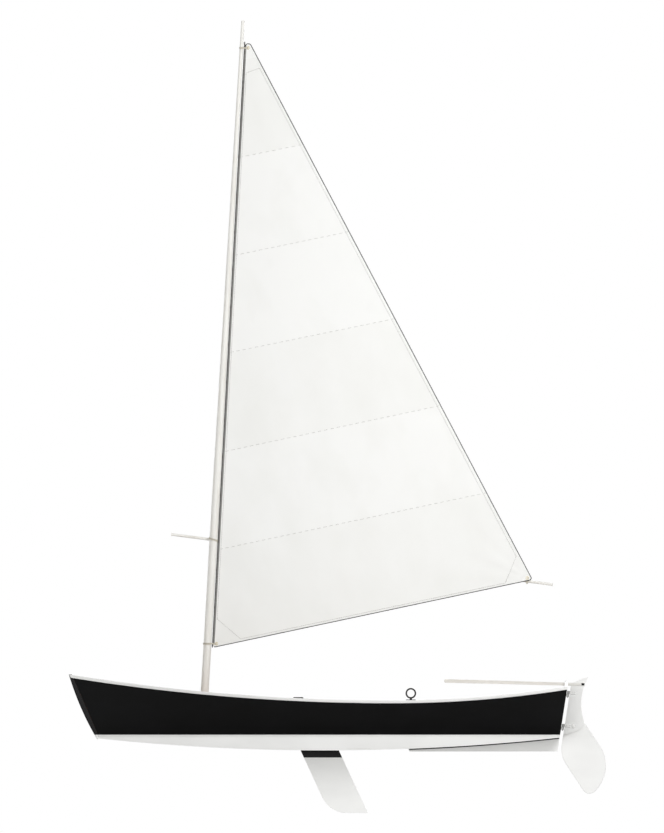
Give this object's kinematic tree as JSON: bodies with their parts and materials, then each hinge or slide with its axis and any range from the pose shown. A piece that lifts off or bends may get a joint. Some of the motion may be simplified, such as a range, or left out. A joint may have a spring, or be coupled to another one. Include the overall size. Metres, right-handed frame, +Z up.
{
  "type": "sailing dinghy",
  "caption": "Flat-bottomed plywood sailing skiff with a sprit-boomed leg-o'-mutton sail, raked daggerboard, kick-up rudder and round rowlocks.",
  "frame": {"origin": "on the waterline plane and the centreline, midway along the hull", "axes": "+X to the bow, +Y to port, +Z up"},
  "size_m": [4.3715, 1.336, 6.4513],
  "materials": {
    "topside_paint": "gloss enamel paint on plywood, black above the boot line and white below it",
    "white_paint": "semi-gloss white enamel paint on wood",
    "inside_paint": "satin light paint on plywood and timber",
    "varnished_timber": "varnished mahogany",
    "spar_spruce": "clear-finished spruce",
    "board_paint": "black paint on wood, white below the hull",
    "rudder_paint": "semi-gloss white enamel paint on wood",
    "sailcloth": "white woven polyester sailcloth",
    "rope": "dark tarred three-strand rope",
    "dark_bronze": "dark weathered bronze casting",
    "pale_steel": "satin stainless steel"
  },
  "bodies": {
    "root": {"side_plank_port": "topside_paint", "side_plank_starboard": "topside_paint", "bottom_panel": "white_paint", "outer_stem": "topside_paint", "inner_stem": "varnished_timber", "transom": "topside_paint", "skeg": "white_paint", "chine_log_port": "inside_paint", "chine_log_starboard": "inside_paint", "rub_rail_port": "white_paint", "rub_rail_starboard": "white_paint", "inwale_port": "varnished_timber", "inwale_starboard": "varnished_timber", "seat_riser_port": "inside_paint", "seat_riser_starboard": "inside_paint", "breasthook": "varnished_timber", "quarter_knees": "varnished_timber", "frame_forward": "inside_paint", "frame_middle": "inside_paint", "frame_aft": "inside_paint", "mast_thwart": "varnished_timber", "centre_thwart": "varnished_timber", "stern_thwart": "varnished_timber", "mast_step": "varnished_timber", "trunk_post_forward": "inside_paint", "trunk_post_aft": "inside_paint", "trunk_cheek_port": "inside_paint", "trunk_cheek_starboard": "inside_paint", "trunk_cap": "varnished_timber", "gudgeons": "pale_steel", "rowlock_sockets": "dark_bronze"},
    "rig": {"mast": "spar_spruce", "sprit": "spar_spruce", "sail": "sailcloth", "luff_rope": "rope"},
    "daggerboard": {"daggerboard": "board_paint", "board_handle": "board_paint"},
    "rudder": {"rudder_cheek_port": "rudder_paint", "rudder_cheek_starboard": "rudder_paint", "rudder_core": "rudder_paint", "tiller": "spar_spruce", "rudder_pivot_bolt": "pale_steel", "pintles": "pale_steel"},
    "blade": {"rudder_blade": "rudder_paint"},
    "rowlock_port": {"rowlock_port": "dark_bronze"},
    "rowlock_starboard": {"rowlock_starboard": "dark_bronze"}
  },
  "joints": [
    {"name": "mast_turn", "type": "hinge", "parent": "root", "child": "rig", "pos_m": [0.945, 0, 0], "axis": [-0.057, 0, 0.9984], "range_deg": [-95, 95]},
    {"name": "rudder_turn", "type": "hinge", "parent": "root", "child": "rudder", "pos_m": [-1.97895, 0, 0], "axis": [-0.153, 0, 0.9882], "range_deg": [-35, 35]},
    {"name": "blade_kick_up", "type": "hinge", "parent": "rudder", "child": "blade", "pos_m": [-2.079, 0, 0.093], "axis": [0, 1, 0], "range_deg": [0, 80]},
    {"name": "board_lift", "type": "slide", "parent": "root", "child": "daggerboard", "axis": [0.4213, 0, 0.9069], "range_m": [0, 0.45]},
    {"name": "rowlock_port_turn", "type": "hinge", "parent": "root", "child": "rowlock_port", "pos_m": [-0.754, 0.5775, 0.3], "axis": [0, 0, 1], "continuous": true},
    {"name": "rowlock_starboard_turn", "type": "hinge", "parent": "root", "child": "rowlock_starboard", "pos_m": [-0.754, -0.5775, 0.3], "axis": [0, 0, 1], "continuous": true}
  ]
}
